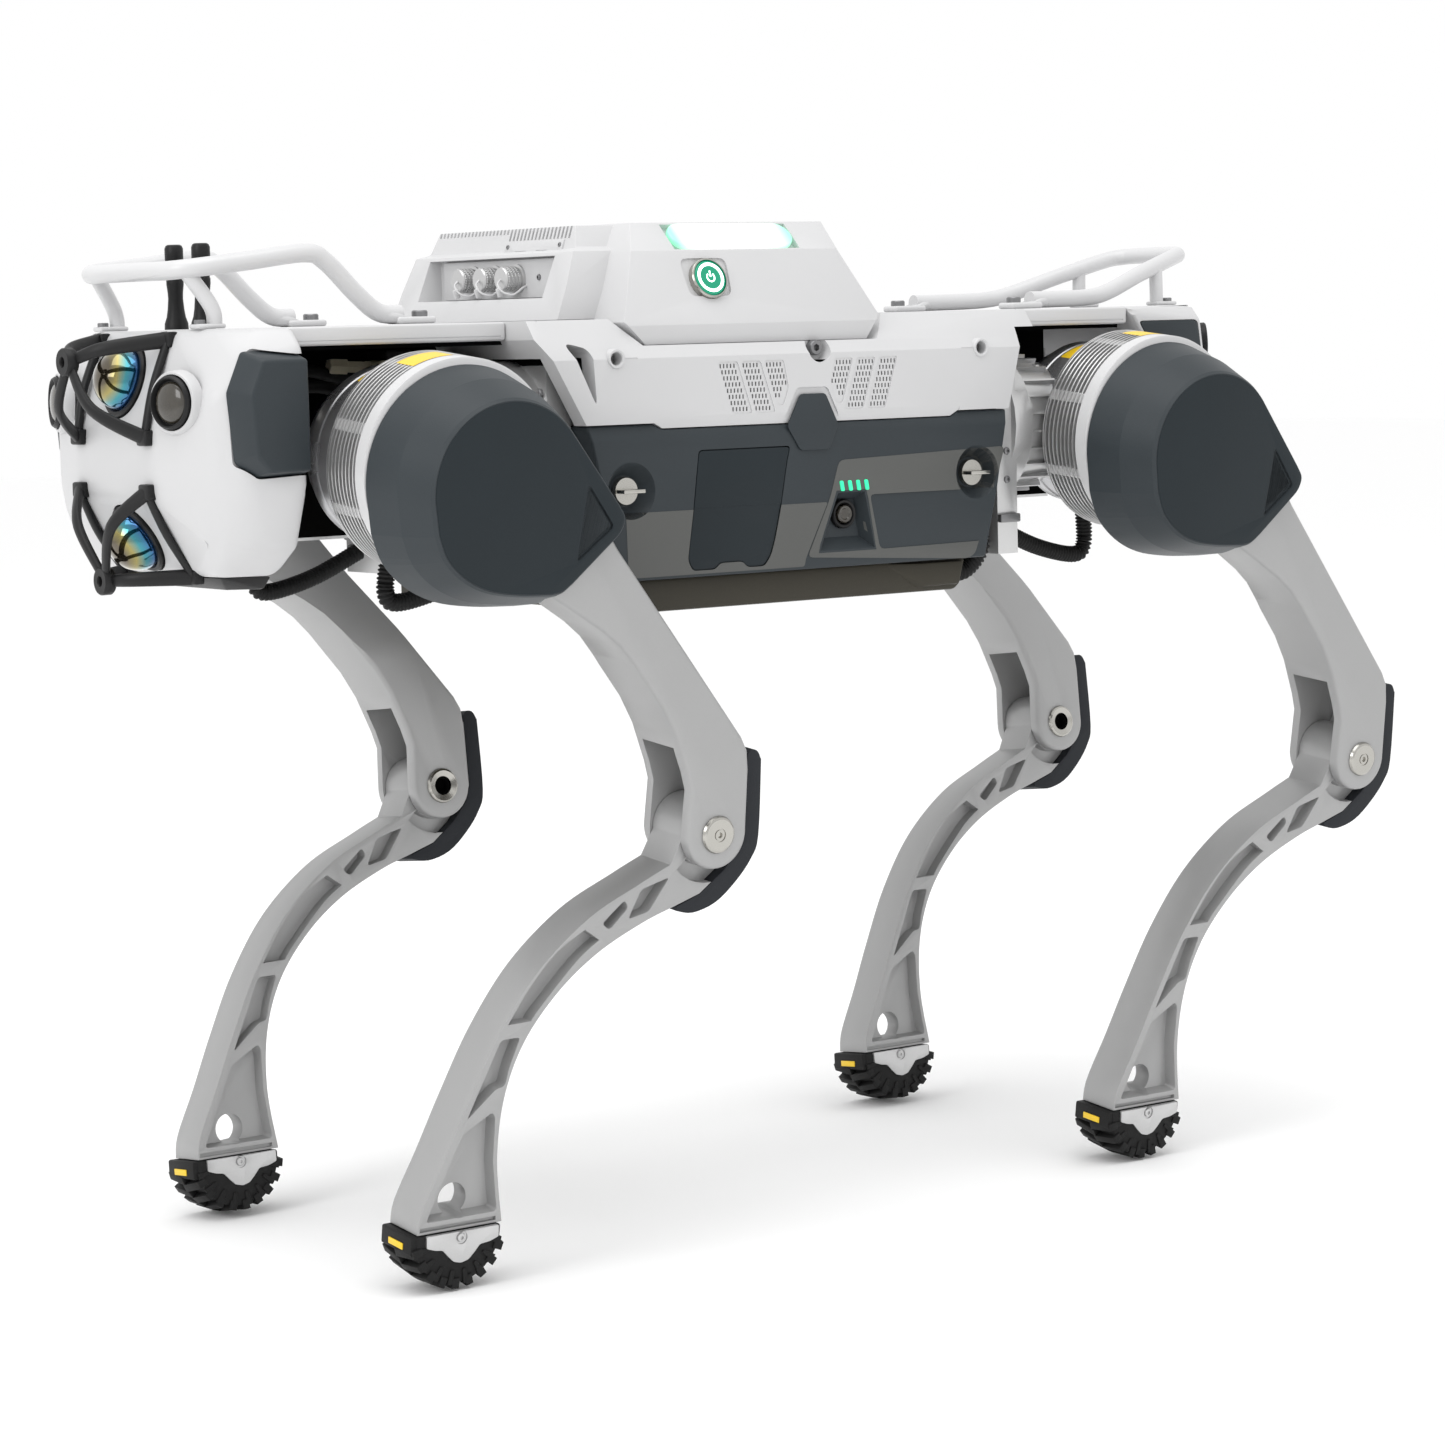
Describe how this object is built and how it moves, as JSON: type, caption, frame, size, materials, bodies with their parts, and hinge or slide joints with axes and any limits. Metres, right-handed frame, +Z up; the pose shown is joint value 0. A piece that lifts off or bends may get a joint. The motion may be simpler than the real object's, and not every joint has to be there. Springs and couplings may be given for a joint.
{
  "type": "legged inspection robot",
  "caption": "Legged inspection robot with rolling and pitching hips, bending knees, a sensor head, carrying rails, a slide-out battery and a charge-port door.",
  "frame": {"origin": "on the ground under the middle of the robot's bounding box", "axes": "+X towards the head, +Y to the robot's left, the side with the charge-port door, +Z up"},
  "size_m": [0.9846, 0.4714, 0.6773],
  "materials": {
    "white_plastic": "fine satin moulding",
    "slate_plastic": "satin blue-grey moulding",
    "cast_aluminium": "bead-blasted, clear anodised",
    "polished_steel": "turned and brushed",
    "black_rubber": "matt moulded",
    "black_plastic": "fine matt",
    "white_paint": "satin powder coat",
    "mirror_glass": "dark blue mirror coat",
    "lamp_white": "frosted light guide, emissive when on"
  },
  "bodies": {
    "torso": {"chassis": "cast_aluminium", "torso_shell": "white_plastic", "front_deck": "white_paint", "rear_deck": "white_paint", "computer_module": "white_plastic", "light_bar": "lamp_white", "port_panel": "polished_steel", "belly_tray": "black_plastic", "head_shell": "white_plastic", "upper_dome": "mirror_glass", "lower_dome": "mirror_glass", "left_bumper_pad": "slate_plastic", "right_bumper_pad": "slate_plastic", "left_camera": "black_plastic", "right_camera": "black_plastic", "upper_guard": "black_plastic", "lower_guard": "black_plastic", "front_rail": "white_paint", "rear_rail": "white_paint", "left_antenna": "black_plastic", "right_antenna": "black_plastic", "tail_block": "white_plastic"},
    "power_button": {"power_button": "lamp_white"},
    "battery": {"battery_pack": "slate_plastic"},
    "charge_port_door": {"charge_port_door": "slate_plastic"},
    "battery_button": {"battery_button": "black_plastic"},
    "front_lock": {"front_lock": "polished_steel"},
    "rear_lock": {"rear_lock": "polished_steel"},
    "front_left_hip": {"front_left_hip_motor": "cast_aluminium", "front_left_hip_hose": "black_rubber"},
    "front_left_upper_leg": {"front_left_hip_cover": "slate_plastic", "front_left_thigh": "cast_aluminium", "front_left_knee_pin": "polished_steel"},
    "front_left_lower_leg": {"front_left_shin": "cast_aluminium", "front_left_knee_guard": "black_rubber", "front_left_foot": "black_rubber"},
    "front_right_hip": {"front_right_hip_motor": "cast_aluminium", "front_right_hip_hose": "black_rubber"},
    "front_right_upper_leg": {"front_right_hip_cover": "slate_plastic", "front_right_thigh": "cast_aluminium", "front_right_knee_pin": "polished_steel"},
    "front_right_lower_leg": {"front_right_shin": "cast_aluminium", "front_right_knee_guard": "black_rubber", "front_right_foot": "black_rubber"},
    "rear_left_hip": {"rear_left_hip_motor": "cast_aluminium", "rear_left_hip_hose": "black_rubber"},
    "rear_left_upper_leg": {"rear_left_hip_cover": "slate_plastic", "rear_left_thigh": "cast_aluminium", "rear_left_knee_pin": "polished_steel"},
    "rear_left_lower_leg": {"rear_left_shin": "cast_aluminium", "rear_left_knee_guard": "black_rubber", "rear_left_foot": "black_rubber"},
    "rear_right_hip": {"rear_right_hip_motor": "cast_aluminium", "rear_right_hip_hose": "black_rubber"},
    "rear_right_upper_leg": {"rear_right_hip_cover": "slate_plastic", "rear_right_thigh": "cast_aluminium", "rear_right_knee_pin": "polished_steel"},
    "rear_right_lower_leg": {"rear_right_shin": "cast_aluminium", "rear_right_knee_guard": "black_rubber", "rear_right_foot": "black_rubber"}
  },
  "joints": [
    {"name": "front_left_hip_roll", "type": "hinge", "parent": "torso", "child": "front_left_hip", "pos_m": [0.3086, 0.0793, 0.5331], "axis": [1, 0, 0], "range_deg": [-7, 20]},
    {"name": "front_left_hip_pitch", "type": "hinge", "parent": "front_left_hip", "child": "front_left_upper_leg", "pos_m": [0.3086, 0.0793, 0.5331], "axis": [0, 0.9945, -0.1045], "range_deg": [-60, 45]},
    {"name": "front_left_knee", "type": "hinge", "parent": "front_left_upper_leg", "child": "front_left_lower_leg", "pos_m": [0.1333, 0.05411, 0.29342], "axis": [0, 0.9945, -0.1045], "range_deg": [-45, 45]},
    {"name": "front_right_hip_roll", "type": "hinge", "parent": "torso", "child": "front_right_hip", "pos_m": [0.3086, -0.0793, 0.5331], "axis": [1, 0, 0], "range_deg": [-20, 7]},
    {"name": "front_right_hip_pitch", "type": "hinge", "parent": "front_right_hip", "child": "front_right_upper_leg", "pos_m": [0.3086, -0.0793, 0.5331], "axis": [0, 0.9945, 0.1045], "range_deg": [-60, 45]},
    {"name": "front_right_knee", "type": "hinge", "parent": "front_right_upper_leg", "child": "front_right_lower_leg", "pos_m": [0.1333, -0.05411, 0.29342], "axis": [0, 0.9945, 0.1045], "range_deg": [-45, 45]},
    {"name": "rear_left_hip_roll", "type": "hinge", "parent": "torso", "child": "rear_left_hip", "pos_m": [-0.276, 0.0793, 0.5331], "axis": [1, 0, 0], "range_deg": [-7, 20]},
    {"name": "rear_left_hip_pitch", "type": "hinge", "parent": "rear_left_hip", "child": "rear_left_upper_leg", "pos_m": [-0.276, 0.0793, 0.5331], "axis": [0, 0.9945, -0.1045], "range_deg": [-35, 45]},
    {"name": "rear_left_knee", "type": "hinge", "parent": "rear_left_upper_leg", "child": "rear_left_lower_leg", "pos_m": [-0.4513, 0.05411, 0.29342], "axis": [0, 0.9945, -0.1045], "range_deg": [-45, 45]},
    {"name": "rear_right_hip_roll", "type": "hinge", "parent": "torso", "child": "rear_right_hip", "pos_m": [-0.276, -0.0793, 0.5331], "axis": [1, 0, 0], "range_deg": [-20, 7]},
    {"name": "rear_right_hip_pitch", "type": "hinge", "parent": "rear_right_hip", "child": "rear_right_upper_leg", "pos_m": [-0.276, -0.0793, 0.5331], "axis": [0, 0.9945, 0.1045], "range_deg": [-35, 45]},
    {"name": "rear_right_knee", "type": "hinge", "parent": "rear_right_upper_leg", "child": "rear_right_lower_leg", "pos_m": [-0.4513, -0.05411, 0.29342], "axis": [0, 0.9945, 0.1045], "range_deg": [-45, 45]},
    {"name": "power_button_press", "type": "slide", "parent": "torso", "child": "power_button", "axis": [0, -0.9408, -0.3389], "range_m": [0, 0.0015], "stiffness_N_per_m": 600},
    {"name": "battery_slide", "type": "slide", "parent": "torso", "child": "battery", "axis": [0, -1, 0], "range_m": [-0.26, 0]},
    {"name": "charge_port_door_hinge", "type": "hinge", "parent": "battery", "child": "charge_port_door", "pos_m": [0.0703, 0.1497, 0.5263], "axis": [-1, 0, 0], "range_deg": [-100, 0]},
    {"name": "battery_button_press", "type": "slide", "parent": "battery", "child": "battery_button", "axis": [0, -1, 0], "range_m": [0, 0.002], "stiffness_N_per_m": 400},
    {"name": "front_lock_turn", "type": "hinge", "parent": "battery", "child": "front_lock", "pos_m": [0.1623, 0.1397, 0.5023], "axis": [0, 1, 0], "range_deg": [0, 90]},
    {"name": "rear_lock_turn", "type": "hinge", "parent": "battery", "child": "rear_lock", "pos_m": [-0.1287, 0.1397, 0.5023], "axis": [0, 1, 0], "range_deg": [0, 90]}
  ]
}
